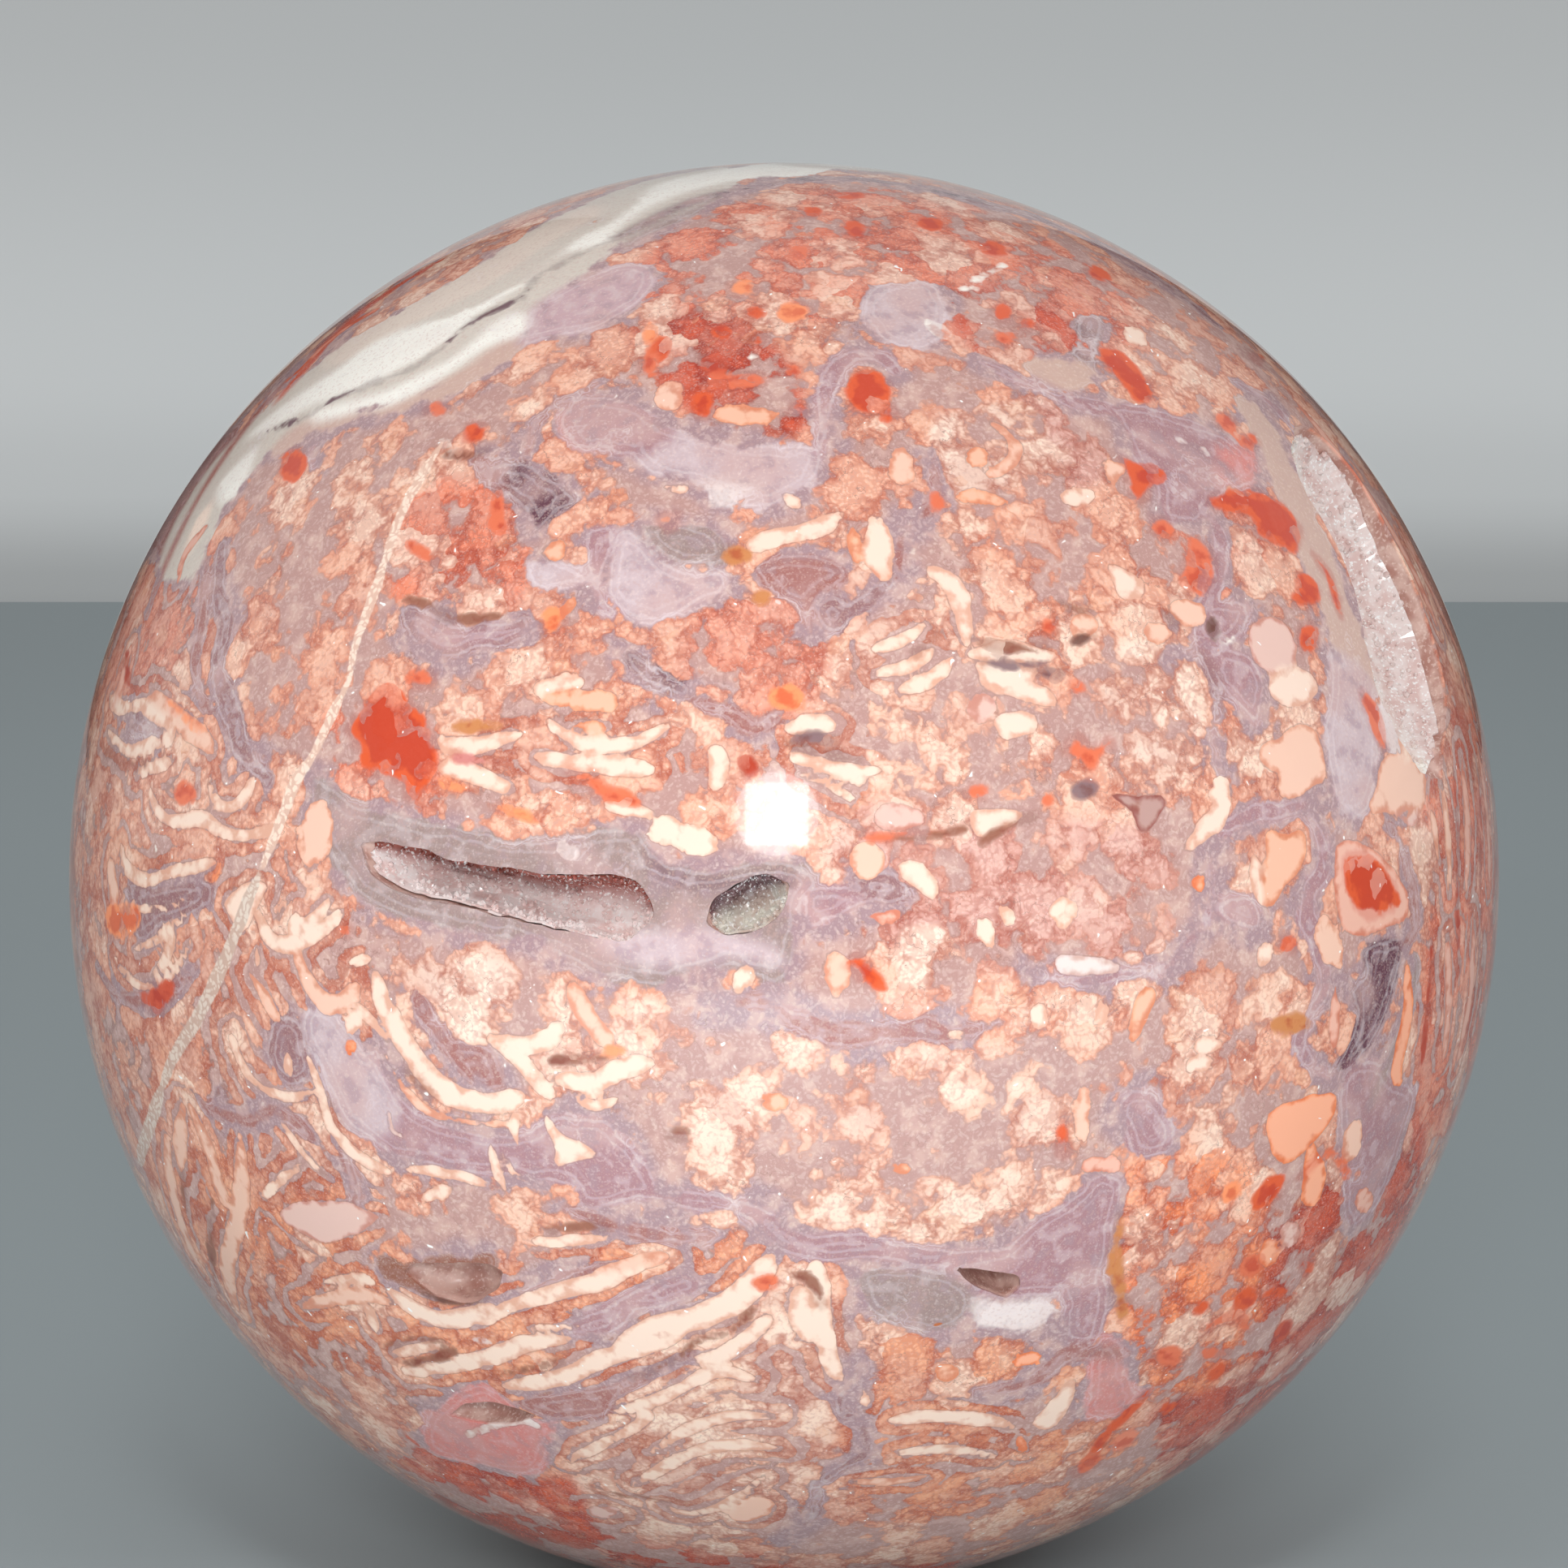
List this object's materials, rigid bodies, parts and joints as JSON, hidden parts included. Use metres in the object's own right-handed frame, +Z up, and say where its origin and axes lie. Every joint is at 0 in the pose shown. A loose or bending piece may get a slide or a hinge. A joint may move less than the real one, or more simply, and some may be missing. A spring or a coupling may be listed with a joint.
{
  "type": "polished flower agate sphere",
  "caption": "Polished ball of patterned agate with a small ground flat to rest on, and open pockets in its surface lined with quartz crystals.",
  "frame": {"origin": "centre of the ground flat that the ball rests on", "axes": "+Z up, normal to the flat; -Y is the front, the side with the long pocket; +X is to the right seen from the front"},
  "size_m": [0.07, 0.07, 0.0694],
  "materials": {
    "polished_agate": "mirror polish over peach, salmon, red and lavender agate",
    "druse_quartz": "small bright quartz points, natural and unpolished"
  },
  "bodies": {
    "root": {"agate_sphere": "polished_agate", "long_vug_crystals": "druse_quartz", "small_vug_crystals": "druse_quartz", "side_vug_crystals": "druse_quartz"}
  },
  "joints": []
}
